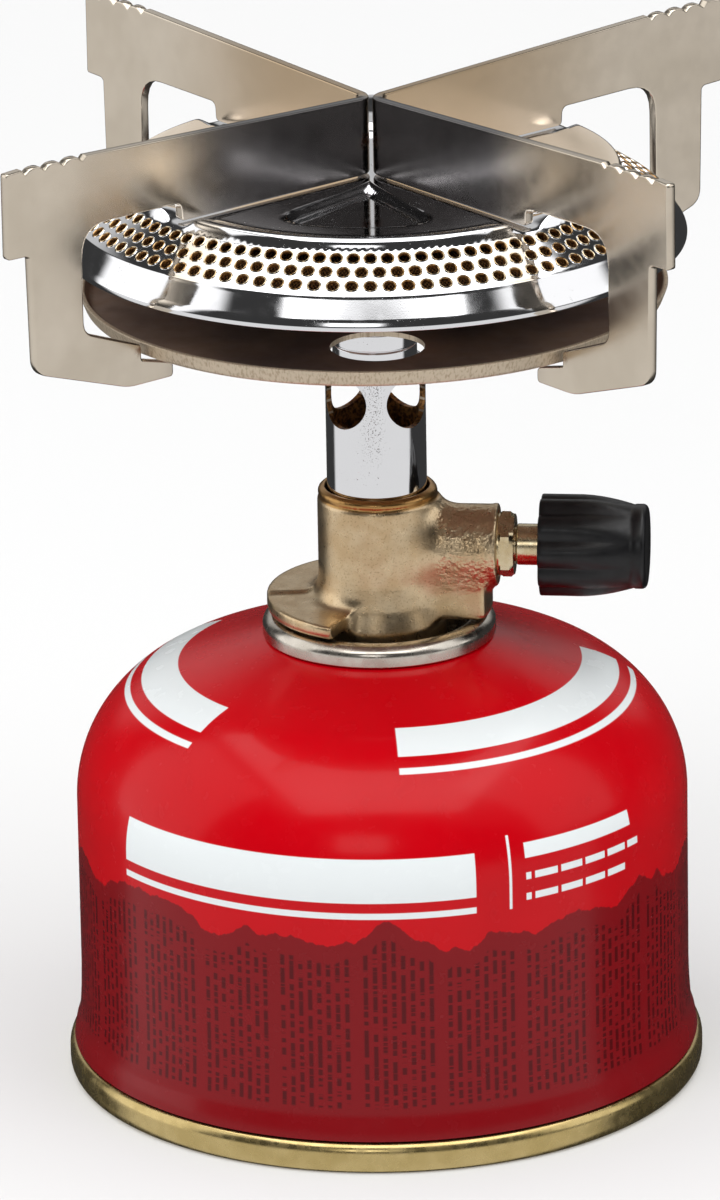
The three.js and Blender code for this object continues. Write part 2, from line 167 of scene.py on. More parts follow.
def turned(outline, segments=128, radius_at=None):
    """Solid of revolution about Z from (radius, height) points listed anticlockwise.

    radius_at(angles, radius, height) may replace the radius of each point.
    """
    angles = np.arange(segments) * 2 * np.pi / segments
    points, rings, faces = [], [], []
    for r, z in outline:
        if r < 1e-9:
            rings.append([len(points)] * segments)
            points.append((0, 0, z))
            continue
        radii = radius_at(angles, r, z) if radius_at else np.full(segments, r)
        rings.append(list(range(len(points), len(points) + segments)))
        points.extend(zip(radii * np.cos(angles), radii * np.sin(angles), np.full(segments, z)))
    following = rings[1:] + (rings[:1] if outline[0][0] > 1e-9 else [])
    for below, above in zip(rings, following):
        for i in range(segments):
            j = (i + 1) % segments
            face = list(dict.fromkeys([below[i], below[j], above[j], above[i]]))
            if len(face) > 2:
                faces.append(face)
    return np.array(points, float), faces


def cylinder(radius, start, end, segments):
    """Solid cylinder about Z between two heights."""
    return turned([(0, start), (radius, start), (radius, end), (0, end)], segments)


def along_spindle(shape):
    """Lays a shape drawn along Z on the spindle's axis, pointing along +X."""
    points, faces = shape
    return np.stack([points[:, 2], points[:, 1], SPINDLE_Z - points[:, 0]], 1), faces


def joined(*shapes):
    """Several shapes as one."""
    points, faces, count = [], [], 0
    for shape_points, shape_faces in shapes:
        points.append(np.asarray(shape_points, float))
        faces.extend([[i + count for i in face] for face in shape_faces])
        count += len(shape_points)
    return np.concatenate(points), faces


def placed(name, data):
    """A new object in the scene."""
    thing = bpy.data.objects.new(name, data)
    bpy.context.scene.collection.objects.link(thing)
    return thing


def raw_piece(name, shape, merge=0.0):
    """Mesh object from a shape, with its faces turned outwards."""
    points, faces = shape
    mesh = bpy.data.meshes.new(name)
    mesh.from_pydata((np.asarray(points) * MM).tolist(), [], faces)
    model = bmesh.new()
    model.from_mesh(mesh)
    if merge:
        bmesh.ops.remove_doubles(model, verts=model.verts[:], dist=merge * MM)
    bmesh.ops.recalc_face_normals(model, faces=model.faces[:])
    model.to_mesh(mesh)
    model.free()
    return placed(name, mesh)


def cut(piece, shape):
    """Cuts closed shapes out of a piece."""
    tool = raw_piece("cutter", shape)
    modifier = piece.modifiers.new("cut", "BOOLEAN")
    modifier.operation = "DIFFERENCE"
    modifier.solver = "EXACT"
    modifier.object = tool
    graph = bpy.context.evaluated_depsgraph_get()
    mesh = bpy.data.meshes.new_from_object(piece.evaluated_get(graph))
    piece.modifiers.clear()
    piece.data = mesh
    bpy.data.objects.remove(tool)
    return piece


def finish_piece(piece, node, material, sharp=38):
    """Shades a piece, gives it its material and lets it stand for its CAD node."""
    piece.data.shade_smooth()
    piece.data.set_sharp_from_angle(angle=math.radians(sharp))
    weighting = piece.modifiers.new("weighted_normals", "WEIGHTED_NORMAL")
    weighting.keep_sharp = True
    piece.data.materials.clear()
    piece.data.materials.append(material)
    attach(piece, BODY_OF[node])
    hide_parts(node)
    return piece


def make(node, shape, material, sharp=38, merge=0.0):
    return finish_piece(raw_piece(node + "_fine", shape, merge), node, material, sharp)


# ---- node materials -----------------------------------------------------------------

def tone(code):
    """Linear colour from a six-digit sRGB code."""
    channels = [int(code[i:i + 2], 16) / 255 for i in (0, 2, 4)]
    linear = [c / 12.92 if c <= 0.04045 else ((c + 0.055) / 1.055) ** 2.4 for c in channels]
    return (*linear, 1.0)


class Nodes:
    """Small language for node trees: each method adds a node and returns its output."""

    def __init__(self, tree, place):
        self.tree = tree
        self.place = place

    def add(self, kind, *values, **settings):
        node = self.tree.nodes.new(kind)
        for key, value in settings.items():
            setattr(node, key, value)
        for socket, value in zip(node.inputs, values):
            self.feed(socket, value)
        return node

    def feed(self, socket, value):
        if value is None:
            return
        if isinstance(value, bpy.types.NodeSocket):
            self.tree.links.new(value, socket)
        else:
            socket.default_value = value

    def math(self, operation, a, b=None, c=None):
        return self.add("ShaderNodeMath", a, b, c, operation=operation).outputs[0]

    def times(self, *factors):
        result = factors[0]
        for factor in factors[1:]:
            result = self.math("MULTIPLY", result, factor)
        return result

    def most(self, *values):
        result = values[0]
        for value in values[1:]:
            result = self.math("MAXIMUM", result, value)
        return result

    def scaled(self, vector, factors):
        return self.add("ShaderNodeVectorMath", vector, factors, operation="MULTIPLY").outputs[0]

    def noise(self, size, detail=3.0, stretch=(1, 1, 1), place=None):
        """Noise about 0.5 whose features are size millimetres across, longer where stretch is above 1."""
        factors = tuple(1 / (size * MM * s) for s in stretch)
        vector = self.scaled(place or self.place, factors)
        node = self.add("ShaderNodeTexNoise", vector)
        node.inputs["Scale"].default_value = 1.0
        node.inputs["Detail"].default_value = detail
        return node.outputs["Fac"]

    def fade(self, value, start, end, low_value=0.0, high_value=1.0):
        """Smooth step of value from start to end."""
        return self.add("ShaderNodeMapRange", value, start, end, low_value, high_value,
                        interpolation_type="SMOOTHSTEP").outputs[0]

    def mix(self, share, a, b):
        node = self.add("ShaderNodeMix", data_type="RGBA")
        self.feed(node.inputs[0], share)
        self.feed(node.inputs[6], a)
        self.feed(node.inputs[7], b)
        return node.outputs[2]

    def mottled(self, dark, light, size, detail=3.0, start=0.3, end=0.7):
        """Cloudy colour between two tones."""
        return self.mix(self.fade(self.noise(size, detail), start, end), tone(dark), tone(light))

    def uneven(self, least, most, size, detail=4):
        """Value that wanders between two limits."""
        return self.fade(self.noise(size, detail), 0.3, 0.7, least, most)

    def near(self, value, centre, half, soft=0.08):
        """One where value lies within half of centre, with a soft edge."""
        distance = self.math("ABSOLUTE", self.math("SUBTRACT", value, centre))
        return self.fade(distance, half + soft, half - soft)

    def bump(self, height, depth, under=None):
        """Normal raised by height times depth, in millimetres."""
        node = self.add("ShaderNodeBump")
        node.inputs["Strength"].default_value = 1.0
        node.inputs["Distance"].default_value = depth * MM
        self.feed(node.inputs["Height"], height)
        self.feed(node.inputs["Normal"], under)
        return node.outputs[0]


class Finish(Nodes):
    """A Principled material with object coordinates."""

    def __init__(self, name, metallic, **uniform):
        self.material = bpy.data.materials.new(name + "_finish")
        self.material.use_nodes = True
        tree = self.material.node_tree
        super().__init__(tree, tree.nodes.new("ShaderNodeTexCoord").outputs["Object"])
        self.shader = tree.nodes["Principled BSDF"]
        self.shader.inputs["Metallic"].default_value = metallic
        for key, value in uniform.items():
            self.shader.inputs[key.replace("_", " ")].default_value = value

    def surface(self, colour, roughness, normal):
        self.feed(self.shader.inputs["Base Color"], colour)
        self.feed(self.shader.inputs["Roughness"], roughness)
        self.feed(self.shader.inputs["Normal"], normal)
        return self.material

    def millimetres(self):
        """The x, y and z of the surface point, in millimetres."""
        vector = self.scaled(self.place, (1 / MM,) * 3)
        return self.add("ShaderNodeSeparateXYZ", vector).outputs

    def from_axis(self, x, y):
        """Distance from the upright axis."""
        return self.math("SQRT", self.math("ADD", self.times(x, x), self.times(y, y)))


def metal(name, light, dark, roughness, grain=0.25, depth=0.004, stretch=(1, 1, 1), metallic=1.0):
    """Metal with cloudy tone, uneven gloss and a fine grain."""
    f = Finish(name, metallic)
    rough = f.uneven(roughness * 0.75, roughness * 1.25, 1.6, 5)
    grainy = f.bump(f.noise(grain, 4, stretch), depth)
    return f.surface(f.mottled(dark, light, 4, 4), rough, grainy)


def moulded(name, light, dark, roughness, grain=0.12, depth=0.01):
    """Moulded plastic or rubber with a fine eggshell grain."""
    f = Finish(name, 0.0, Specular_IOR_Level=0.4)
    colour = f.mottled(dark, light, 2.5, 3, 0.35, 0.65)
    rough = f.uneven(roughness * 0.85, roughness * 1.2, 0.9)
    grainy = f.bump(f.noise(grain, 2), depth)
    return f.surface(colour, rough, f.bump(f.noise(0.6, 2), depth * 0.6, grainy))


def chrome_finish():
    """Bright plating with pits, a streak of flecks down the tube's front and hairline scratches."""
    f = Finish("chrome", 1.0)
    x, y, z = f.millimetres()
    patch = f.fade(f.noise(5, 3), 0.52, 0.66)
    pits = f.times(f.fade(f.noise(0.22, 1), 0.72, 0.77), patch)
    streak = f.times(f.near(x, 0.3, 0.9, 1.4), f.fade(y, -3, -5), f.fade(z, 89, 95), f.fade(z, 106, 104))
    flecks = f.times(f.fade(f.noise(0.2, 1), 0.60, 0.66), streak)
    pitted = f.most(pits, flecks)
    colour = f.mix(pitted, tone("ececee"), tone("5a5550"))
    rough = f.math("ADD", f.fade(f.noise(2.2, 4), 0.35, 0.7, 0.05, 0.11), f.times(pitted, 0.3))
    scratches = f.noise(0.12, 2, (1, 1, 14))
    return f.surface(colour, rough, f.bump(pitted, -0.012, f.bump(scratches, 0.0008)))


def sooted_finish():
    """Heat-tinted brown metal inside the flame ports."""
    f = Finish("port_brown", 0.7)
    colour = f.mottled("5a3a20", "c08c50", 0.6, 3, 0.35, 0.65)
    return f.surface(colour, 0.4, f.bump(f.noise(0.2, 3), 0.02))


def scorched_tip_finish():
    """Straw-tinted chrome on the rims of the flame ports."""
    f = Finish("port_rim", 1.0)
    colour = f.mottled("e0cfae", "bf9a66", 3.5, 3, 0.35, 0.65)
    return f.surface(colour, 0.2, f.bump(f.noise(0.2, 3), 0.003))


def stainless_finish():
    """Warm satin sheet: painted dark reflection near the hub in front, browned at the back, stained at the
    joints.
    """
    f = Finish("stainless", 1.0)
    x, y, z = f.millimetres()
    radius = f.from_axis(x, y)
    colour = f.mottled("ddd1c0", "d2c6b4", 14, 4)
    specks = f.fade(f.noise(0.16, 1), 0.74, 0.77)
    in_front = f.fade(y, 1.5, -1.5)
    # Painted dark reflection: the front faces turn grey towards the hub, standing in for the dark
    # surroundings they reflect.
    painted_hub_shade = f.times(f.fade(radius, 40, 25), in_front)
    browned = f.times(f.fade(radius, 48, 15), f.math("SUBTRACT", 1.0, in_front))
    colour = f.mix(f.times(browned, 0.75), colour, tone("ab8f6a"))
    # Lays the painted dark reflection over the front faces near the hub.
    colour = f.mix(f.times(painted_hub_shade, 0.9), colour, tone("5c5c60"))
    colour = f.mix(f.times(specks, 0.6), colour, tone("cfc8bd"))
    blotch = f.noise(0.7, 4)
    hub_stain = f.times(f.fade(radius, 3.2, 0.6), f.near(z, 136, 0.9, 0.8))
    foot_stain = f.times(f.near(radius, 41, 1.1, 0.8), f.near(z, 115.2, 1.1, 0.8))
    stain = f.times(f.most(hub_stain, foot_stain), f.fade(blotch, 0.35, 0.6))
    colour = f.mix(stain, colour, tone("7a4a22"))
    rough = f.math("ADD", f.uneven(0.19, 0.23, 2.4), f.times(stain, 0.3))
    hair = f.fade(f.noise(0.4, 2, (1, 1, 30)), 0.68, 0.74)
    hair_across = f.fade(f.noise(0.4, 2, (24, 24, 1)), 0.68, 0.74)
    relief = f.math("ADD", f.times(f.noise(0.14, 3), 0.25), f.times(f.most(hair, hair_across), 0.5))
    return f.surface(colour, rough, f.bump(relief, 0.0015, f.bump(f.noise(12, 1), 0.012)))


def cast_brass_finish():
    """Nickel-toned brass casting with a pebbled skin, a hammered boss and a browned bead."""
    f = Finish("cast_brass", 1.0)
    x, y, z = f.millimetres()
    colour = f.mottled("d0b48c", "dfc8a4", 3.5, 4)
    pits = f.fade(f.noise(0.26, 2), 0.56, 0.70)
    colour = f.mix(f.times(pits, 0.4), colour, tone("8a6c48"))
    radius = f.from_axis(x, y)
    bead = f.times(f.fade(z, BODY_TOP - 1.8, BODY_TOP - 1.5), f.fade(radius, 9.2, 8.8))
    colour = f.mix(bead, colour, tone("b98f58"))
    hammered = f.times(f.fade(x, 7.5, 10.5), f.fade(z, 71, 73))
    grain = f.times(f.noise(0.3, 3), 0.22)
    dents = f.times(f.noise(0.8, 2), f.math("ADD", 0.06, f.times(hammered, 1.8)))
    skin_height = f.math("ADD", grain, dents)
    smooth_bead = f.math("SUBTRACT", 1.0, bead)
    rough = f.uneven(0.27, 0.35, 1.3, 3)
    return f.surface(colour, rough, f.bump(f.times(skin_height, smooth_bead), 0.12))


def turned_brass_finish():
    """Machined nickel-brass with faint lathe rings about the spindle."""
    f = Finish("turned_brass", 1.0)
    rings = f.noise(0.2, 1, (1, 12, 12))
    colour = f.mottled("cdb890", "e2d3b2", 1.7, 4)
    return f.surface(colour, f.uneven(0.18, 0.3, 0.8), f.bump(rings, 0.003))


def pan_finish():
    """Heat-dulled brown sheet of the heat shield and burner bowl."""
    f = Finish("heat_dark", 0.25, Specular_IOR_Level=0.35)
    colour = f.mottled("7d6c66", "a38b7a", 14, 4, 0.3, 0.72)
    return f.surface(colour, f.uneven(0.5, 0.68, 2.5), f.bump(f.noise(0.35, 3), 0.008))


def drawn_edge_finish():
    """Tan bare edge of drawn sheet with short upright scuffs."""
    f = Finish("drawn_edge", 0.55)
    scuffs = f.fade(f.noise(0.3, 3, (1, 1, 8)), 0.45, 0.7)
    colour = f.mix(scuffs, tone("cbbba4"), tone("b09d85"))
    return f.surface(colour, f.fade(scuffs, 0, 1, 0.34, 0.5), f.bump(scuffs, -0.003))


def paint_finish():
    """Glossy red lacquer with a darker foot, plain white stripes and fine neutral dashes."""
    f = Finish("canister_paint", 0.0, Coat_Weight=0.12, Coat_Roughness=0.06, Specular_IOR_Level=0.16)
    x, y, z = f.millimetres()
    angle = f.math("ARCTAN2", x, f.math("MULTIPLY", y, -1.0))
    across = f.math("MULTIPLY", angle, BODY_R)
    degrees = f.math("MULTIPLY", angle, 180 / math.pi)
    radius = f.from_axis(x, y)
    wall = f.fade(z, SHOULDER_Z + 11, SHOULDER_Z + 10.9)

    flat_place = f.scaled(f.place, (1, 1, 0))
    ripple = f.math("SUBTRACT", f.noise(11, 5, place=flat_place), 0.5)
    edge = f.math("MULTIPLY_ADD", ripple, 15.0, 34.0)
    below = f.math("SUBTRACT", edge, z)
    band = f.fade(below, -0.12, 0.12)
    red = f.mottled("bd000e", "c3000f", 25, 2)
    colour = f.mix(band, red, tone("7d0c13"))

    pitch = 1.3
    column = f.math("FLOOR", f.math("DIVIDE", across, pitch))
    offset = f.math("FRACT", f.math("DIVIDE", across, pitch))
    stroke = f.near(offset, 0.45, 0.24, 0.12)
    line_place = f.add("ShaderNodeCombineXYZ", f.times(column, 7.31), f.times(z, 1.15), 0.0).outputs[0]
    broken = f.add("ShaderNodeTexNoise", line_place)
    broken.inputs["Scale"].default_value = 1.0
    broken.inputs["Detail"].default_value = 2.0
    block = f.math("FRACT", f.math("DIVIDE", f.math("ADD", column, 0.5), 9.0))
    dashes = f.times(stroke, f.fade(broken.outputs["Fac"], 0.44, 0.50), f.fade(block, 0.12, 0.13),
                     f.fade(below, 2.5, 2.8), f.fade(z, 9.0, 9.4))
    colour = f.mix(f.times(dashes, 0.8), colour, tone("43060a"))

    stripe = f.times(f.near(across, -10.0, 27.5), f.near(z, 42.6, 3.1))
    thin_stripe = f.times(f.near(across, -10.0, 27.5), f.near(z, 37.6, 0.45))
    divider = f.times(f.near(across, 22.6, 0.2), f.near(z, 42.2, 5.2))
    words = f.fade(f.math("FRACT", f.math("DIVIDE", across, 4.3)), 0.12, 0.16)
    heading = f.times(f.near(across, 34.8, 9.8), f.near(z, 45.0, 1.05))
    second = f.times(f.near(across, 35.5, 10.5), f.near(z, 41.4, 0.5), words)
    third = f.times(f.near(across, 34.0, 9.0), f.near(z, 38.4, 0.5), words)
    front = f.times(f.most(stripe, thin_stripe, divider, heading, second, third), wall)
    ribbons = f.most(f.near(radius, 31.0, 2.6), f.near(radius, 35.6, 0.4))
    spans = f.most(f.near(degrees, 57.0, 47.0, 0.2), f.near(degrees, -82.0, 40.0, 0.2))
    dome = f.times(ribbons, spans, f.fade(z, 52.0, 52.1))
    ink = f.most(front, dome)
    colour = f.mix(ink, colour, tone("e4e9ea"))

    peel = f.bump(f.noise(1.4, 1), 0.0012)
    return f.surface(colour, f.uneven(0.22, 0.28, 3), f.bump(ink, 0.006, peel))


def gauze_finish():
    """Woven wire gauze, browned by heat, with painted shade in the weave's hollows and painted highlights on
    its crests.
    """
    f = Finish("gauze_brown", 0.7)
    x, y, z = f.millimetres()
    angle = f.math("ARCTAN2", y, x)
    warp = f.math("SINE", f.times(angle, 480.0))
    weft = f.math("SINE", f.times(z, 14.0))
    weave = f.times(warp, weft)
    # The brown is the wire's own heat tint; darkening it where the weave dips is painted shade, lightening it
    # on the crests painted highlight.
    colour = f.mix(f.fade(weave, -0.6, 0.6), tone("3a2514"), tone("94683a"))
    return f.surface(colour, 0.5, f.bump(weave, 0.08))


CHROME = chrome_finish()
PORT_BROWN = sooted_finish()
PORT_RIM = scorched_tip_finish()
STAINLESS = stainless_finish()
CAST_BRASS = cast_brass_finish()
TURNED_BRASS = turned_brass_finish()
PAN_DARK = pan_finish()
DRAWN_EDGE = drawn_edge_finish()
PAINT = paint_finish()
GAUZE = gauze_finish()
LACQUER = metal("canister_lacquer", "cdb67e", "bfa86f", 0.26, 0.5, 0.002, (6, 6, 1), 0.95)
TIN = metal("valve_tin", "d6cfc4", "c6beb2", 0.24, 0.25, 0.0015, (9, 9, 1))
BRASS = metal("brass", "d0ac5c", "b08a42", 0.28)
BRONZE = metal("sintered_bronze", "a07c4c", "6e5432", 0.6, 0.3, 0.06)
SPRING_STEEL = metal("spring_steel", "a8a8a6", "8a8a88", 0.3)
RUBBER = moulded("rubber", "202020", "141414", 0.75)
WHITE_PLASTIC = moulded("white_plastic", "e9e7de", "dddacd", 0.45)
KNOB_PLASTIC = moulded("knob_plastic", "131315", "0c0c0e", 0.36, 0.16, 0.006)


# ---- gas canister -------------------------------------------------------------------

def build_canister():
    roll_r = BODY_R - SHOULDER_R
    cone_start = 90 - DOME_SLOPE
    mouth_r = 13.9
    roll_out = arc(roll_r, SHOULDER_Z, SHOULDER_R, 0, cone_start, 40)
    roll_in = arc(roll_r, SHOULDER_Z, SHOULDER_R - SHEET, cone_start, 0, 20)
    cone_r, cone_z = roll_out[-1]
    mouth_z = cone_z + (cone_r - mouth_r) * math.tan(math.radians(DOME_SLOPE))
    foot = RIM_TOP + GAP
    flare = [(RIM_R - 0.7, foot), (RIM_R - 0.8, foot + 0.7), (44.0, foot + 1.7), (43.65, foot + 2.8),
             (43.4, 8.6), (43.2, 11.5), (BODY_R, 15)]
    inside = [(r - SHEET, z) for r, z in reversed(flare)]
    outline = [*flare, *roll_out, (mouth_r, mouth_z), (mouth_r, mouth_z - SHEET), *roll_in, *inside]
    make("canister_shell", turned(outline, 256), PAINT)

    dome_r, dome_edge, dome_top = 119.5, 20.3, 12
    under = arc(0, dome_top - dome_r, dome_r, 90, 90 - dome_edge, 16)
    over = arc(0, dome_top + SHEET - dome_r, dome_r, 90 - dome_edge, 90, 16)
    under[0] = (0, dome_top)
    over[-1] = (0, dome_top + SHEET)
    rim = [(41.8, 4, 0.4), (41.8, 0.9, 0.4), (42.5, 0, 0.6), (44.4, 0, 0.5), (RIM_R, 0.9, 0.6),
           (RIM_R, 3.4, 0.8), (44.4, RIM_TOP, 0.5), (42.9, RIM_TOP, 0.4), (42.2, 5.2, 0.3)]
    smooth = [(r, z, 0) for r, z in under] + rim + [(r, z, 0) for r, z in over]
    make("canister_base", turned(eased(smooth), 256), LACQUER)


def build_valve():
    wall = 13.5
    cup = [(7.2, CUP_FLOOR), (12.9, CUP_FLOOR, 0.5), (wall, CUP_FLOOR + SHEET, 0.4), (wall, 65.15, 0.3),
           (16.1, 64.1, 0.2), (CUP_R, 64.2, 0.3), (CUP_R, 66.1, 0.9), (15.5, 67.0, 0.9),
           (14.5, CUP_TOP, 0.7), (13.2, 66.9, 0.7), (wall - SHEET, 65.7, 0.6), (wall - SHEET, 59.9, 0.5),
           (12.3, CUP_FLOOR + SHEET, 0.4), (7.2, CUP_FLOOR + SHEET)]
    make("valve_cup", turned(eased(cup, 0.2, 6), 192), TIN)

    # External thread cut into the collar: the radius follows a helix.
    def thread(angles, radius, height):
        if radius < THREAD_R - 0.05 or height < 60 or height > THREAD_TOP - 0.6:
            return np.full(len(angles), radius)
        turn = (height / THREAD_PITCH - angles / (2 * np.pi)) % 1
        return radius - 0.5 * np.abs(turn - 0.5)

    threaded = [(THREAD_R, z) for z in np.arange(59.7, THREAD_TOP - 0.45, 0.11)]
    collar = [(4.2, CUP_FLOOR), (6.9, CUP_FLOOR), (6.9, CUP_FLOOR + SHEET), (THREAD_R + 0.1, 59.4),
              *threaded, (THREAD_R - 0.5, THREAD_TOP), (2.2, THREAD_TOP), (2.2, 66.7), (4.2, 66.7)]
    make("valve_thread_collar", turned(collar, 128, thread), TIN, sharp=60)

    gasket = [(1.85, 65.1), (3.9, 65.1), (3.9, 66.4), (1.85, 66.4)]
    make("valve_gasket", turned(eased(gasket, 0.2)), RUBBER)
    housing = [(0.8, 50), (4.9, 50, 0.5), (4.9, CUP_FLOOR - GAP), (3.9, CUP_FLOOR - GAP), (3.9, 64.6),
               (3.1, 64.6), (3.1, 51.2, 0.4), (0.8, 51.2)]
    make("valve_housing", turned(eased(housing, 0.15)), WHITE_PLASTIC)
    stem = [(0, 57.5), (1.2, 57.5, 0.3), (1.2, 63.2), (2.8, 63.2), (2.8, 64.7), (1.5, 64.7, 0.2),
            (1.5, STEM_TOP, 0.3), (0, STEM_TOP)]
    make("valve_stem", turned(eased(stem, 0.12)), WHITE_PLASTIC)
    build_spring()


def build_spring():
    """Coil spring with closed ends, its top coil just under the stem's flange."""
    coils, radius, wire = 6, 2.45, 0.3
    bottom, top = 51.6, 62.85
    steps, sides = coils * 48, 12
    t = np.linspace(0, 1, steps + 1)
    turn = 2 * np.pi * coils * t
    closing = np.clip(np.minimum(t, 1 - t) * coils, 0, 1)
    climb = np.cumsum(0.35 + 0.65 * closing)
    height = bottom + (top - bottom) * (climb - climb[0]) / (climb[-1] - climb[0])
    points = []
    for a, z in zip(turn, height):
        for side in range(sides):
            b = 2 * np.pi * side / sides
            r = radius + wire * math.cos(b)
            points.append((r * math.cos(a), r * math.sin(a), z + wire * math.sin(b)))
    faces = [[i * sides + s, i * sides + (s + 1) % sides, (i + 1) * sides + (s + 1) % sides,
              (i + 1) * sides + s] for i in range(steps) for s in range(sides)]
    faces.append(list(range(sides)))
    faces.append(list(range(steps * sides, (steps + 1) * sides)))
    spring = make("valve_spring", (points, faces), SPRING_STEEL)
    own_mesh(spring)


# ---- valve body ---------------------------------------------------------------------

def melted(a, b, radius):
    """Union of two distance fields with a fillet of about that radius."""
    share = np.clip(radius - np.abs(a - b), 0, None) / radius
    return np.minimum(a, b) - share ** 2 * radius / 4


def trimmed(radius, *fields):
    """Intersection of distance fields with rounded edges."""
    result = fields[0]
    for field in fields[1:]:
        result = -melted(-result, -field, radius)
    return result


def skin(distance, lowest, highest, step):
    """Quad mesh of the surface where a distance field is zero, by surface nets on a regular grid."""
    axes = [np.arange(lowest[i], highest[i] + step, step) for i in range(3)]
    field = distance(*np.meshgrid(*axes, indexing="ij"))
    cells = tuple(n - 1 for n in field.shape)

    def corner(offset):
        return field[tuple(slice(o, o + n) for o, n in zip(offset, cells))]

    total = np.zeros(cells + (3,))
    count = np.zeros(cells)
    for axis in range(3):
        for u in (0, 1):
            for v in (0, 1):
                offset = [u, v]
                offset.insert(axis, 0)
                start = corner(offset)
                far = list(offset)
                far[axis] = 1
                end = corner(far)
                crosses = (start < 0) != (end < 0)
                share = np.where(crosses, start / np.where(crosses, start - end, 1), 0)
                for i in range(3):
                    total[..., i] += crosses * (offset[i] + (share if i == axis else 0))
                count += crosses
    active = count > 0
    index = np.full(cells, -1)
    index[active] = np.arange(active.sum())
    where = np.argwhere(active)
    points = (where + total[active] / count[active][:, None]) * step + np.array(lowest)

    faces = []
    for axis in range(3):
        a, b = [i for i in range(3) if i != axis]
        inner = [slice(None)] * 3
        inner[a] = inner[b] = slice(1, -1)
        near = list(inner)
        near[axis] = slice(0, -1)
        beyond = list(inner)
        beyond[axis] = slice(1, None)
        starts = field[tuple(near)] < 0
        crossing = np.argwhere(starts != (field[tuple(beyond)] < 0))
        crossing[:, a] += 1
        crossing[:, b] += 1
        quads = []
        for da, db in ((1, 1), (0, 1), (0, 0), (1, 0)):
            cell = crossing.copy()
            cell[:, a] -= da
            cell[:, b] -= db
            quads.append(index[tuple(cell.T)])
        faces.extend(np.stack(quads, 1).tolist())
    return points, faces


def valve_body_field(x, y, z):
    """Distance to the cast valve body: barrel, spindle boss, two wings and their bores."""
    radius = np.hypot(x, y)
    bead = BODY_TOP - np.array([1.9, 1.7, 1.4, 1.1, 0.5, 0])
    heights = (62, 63, 63.6, 66.6, 69.5, 73, *bead)
    radii = (8.8, 8.9, 9.5, 9.6, 8.8, 8.4, 8.4, 8.35, 7.95, 8.3, 8.3, 7.7)
    barrel = trimmed(0.3, radius - np.interp(z, heights, radii), z - BODY_TOP, 63 - z)
    boss = trimmed(0.5, np.hypot(y, z - SPINDLE_Z) - BOSS_R, x - BOSS_END, -x)
    collar = trimmed(0.3, np.hypot(y, z - SPINDLE_Z) - BOSS_R - 0.12, x - BOSS_END, BOSS_END - 0.9 - x)
    body = melted(barrel, np.minimum(boss, collar), 3.4)

    def sector_edges(start, end):
        first, last = math.radians(start), math.radians(end)
        return (math.sin(first) * x - math.cos(first) * y, math.cos(last) * y - math.sin(last) * x)

    azimuth = np.degrees(np.arctan2(y, x)) % 360
    crease = np.clip((azimuth - 186) / 5, 0, 1)
    wing_top = WING_Z + 2.5 + 0.35 * (1 - crease) - 0.008 * np.clip(azimuth - 190, 0, 60)
    left = trimmed(0.4, radius - 15.7, *sector_edges(110, 250), z - wing_top, WING_Z - z,
                   (radius - 15.7 + WING_Z + 0.6 - z) / math.sqrt(2))
    body = melted(body, left, 2.2)
    right = trimmed(0.8, radius - 16, np.abs(y) - 4.9, -x, z - SPINDLE_Z, WING_Z - z)
    body = melted(body, right, 1.8)

    turn = 2 * np.pi * z / THREAD_PITCH - np.arctan2(y, x)
    cuts = [np.maximum(radius - (THREAD_R + 0.3 + 0.12 * (1 + np.cos(turn))), z - 70.1)]
    shafts = ((0, 2.4, 69, 73.2), (0, 7.3, SOCKET_FLOOR, math.inf), (0, 2.4, 79.6, math.inf),
              (1.8, 0.8, 73, SPINDLE_Z), (-0.5, 0.7, SPINDLE_Z, 80))
    for centre, bore, start, end in shafts:
        cuts.append(np.maximum(np.hypot(x - centre, y) - bore, np.maximum(start - z, z - end)))
    spindle_r = np.hypot(y, z - SPINDLE_Z)
    bores = ((0.6, -0.5, 1.1), (2.0, 1, 5.6), (2.7, 5.5, 10.4), (3.7, 10.3, 13.5), (4.7, 13.4, 19))
    for bore, start, end in bores:
        cuts.append(np.maximum(spindle_r - bore, np.maximum(start - x, x - end)))
    for hollow in cuts:
        body = np.maximum(body, -hollow)
    return body


def build_valve_body():
    step = 0.25
    shape = skin(valve_body_field, (-16.6, -16.6, 62), (18, 16.6, BODY_TOP + 1), step)
    piece = raw_piece("valve_body_fine", shape)
    model = bmesh.new()
    model.from_mesh(piece.data)
    for _ in range(2):
        bmesh.ops.smooth_vert(model, verts=model.verts[:], factor=0.5,
                              use_axis_x=True, use_axis_y=True, use_axis_z=True)
    model.to_mesh(piece.data)
    model.free()
    finish_piece(piece, "valve_body", CAST_BRASS, sharp=70)

    seal = [(2.8, THREAD_TOP + 0.35), (5.5, THREAD_TOP + 0.35), (5.5, 69.8), (2.8, 69.8)]
    make("socket_seal", turned(eased(seal, 0.4)), RUBBER)
    pin = [(0, STEM_TOP + GAP), (1, STEM_TOP + GAP), (1, 70.5), (2.1, 70.5), (2.1, 71.4), (0, 71.4)]
    make("depressor_pin", turned(eased(pin, 0.15)), BRASS)
    disc = [(0, 71.7), (2.1, 71.7), (2.1, 72.9), (0, 72.9)]
    make("gas_filter", turned(eased(disc, 0.2)), BRONZE)
    seat = SOCKET_FLOOR
    jet = [(0.8, 79.9), (2.1, 79.9), (2.1, seat + GAP), (2.9, seat + GAP), (2.9, seat + 2.4), (2.3, seat + 3),
           (0.25, seat + 3), (0.25, seat + 2.2), (0.8, seat + 1.6)]
    make("jet_nozzle", turned(eased(jet, 0.12)), BRASS)


# ---- control spindle and knob -------------------------------------------------------

def hexagonal(flats, start, end):
    """Radius rule that trims a turned shape to a hexagon between two heights."""
    def rule(angles, radius, height):
        if height < start - 1e-6 or height > end + 1e-6:
            return np.full(len(angles), radius)
        flat = flats / 2 / np.cos(angles % (math.pi / 3) - math.pi / 6)
        return np.minimum(radius, flat)
    return rule


